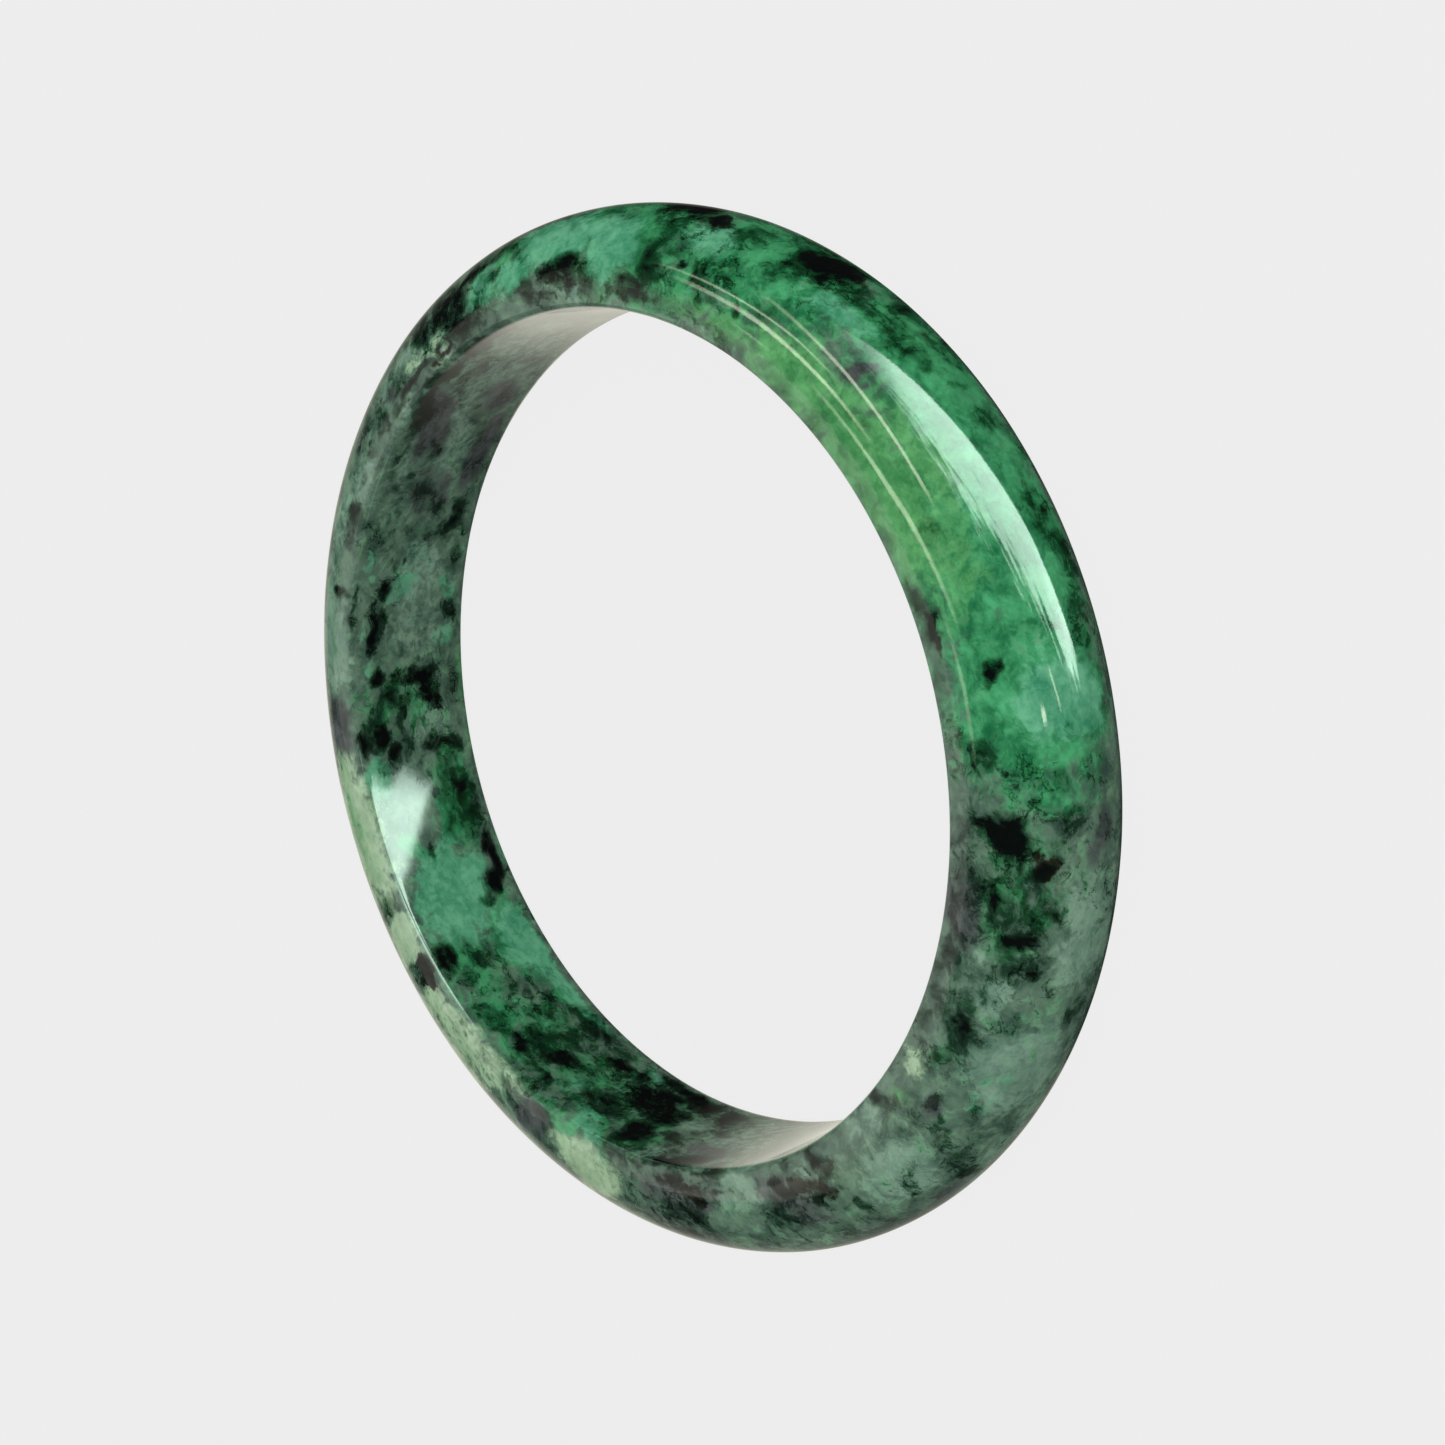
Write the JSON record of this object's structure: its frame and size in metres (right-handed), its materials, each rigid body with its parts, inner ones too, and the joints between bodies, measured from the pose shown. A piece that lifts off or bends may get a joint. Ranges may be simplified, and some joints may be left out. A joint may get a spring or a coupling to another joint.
{
  "type": "bangle bracelet",
  "caption": "Closed round bangle carved from mottled green jade: straight polished bore, small bevels, narrow flat lands and a domed outer face; slips over the hand onto the wrist.",
  "frame": {"origin": "on the plane of the lower land that the bangle rests on, under the middle of its outer rim", "axes": "+Z along the ring's axis, up when the bangle lies flat; +X towards the thinnest part of the wall; +Y completes the right-handed frame"},
  "size_m": [0.0696, 0.0696, 0.0108],
  "materials": {
    "jade": "polished, glossy, slightly translucent, mottled"
  },
  "bodies": {
    "root": {"bangle_ring": "jade"}
  },
  "joints": []
}
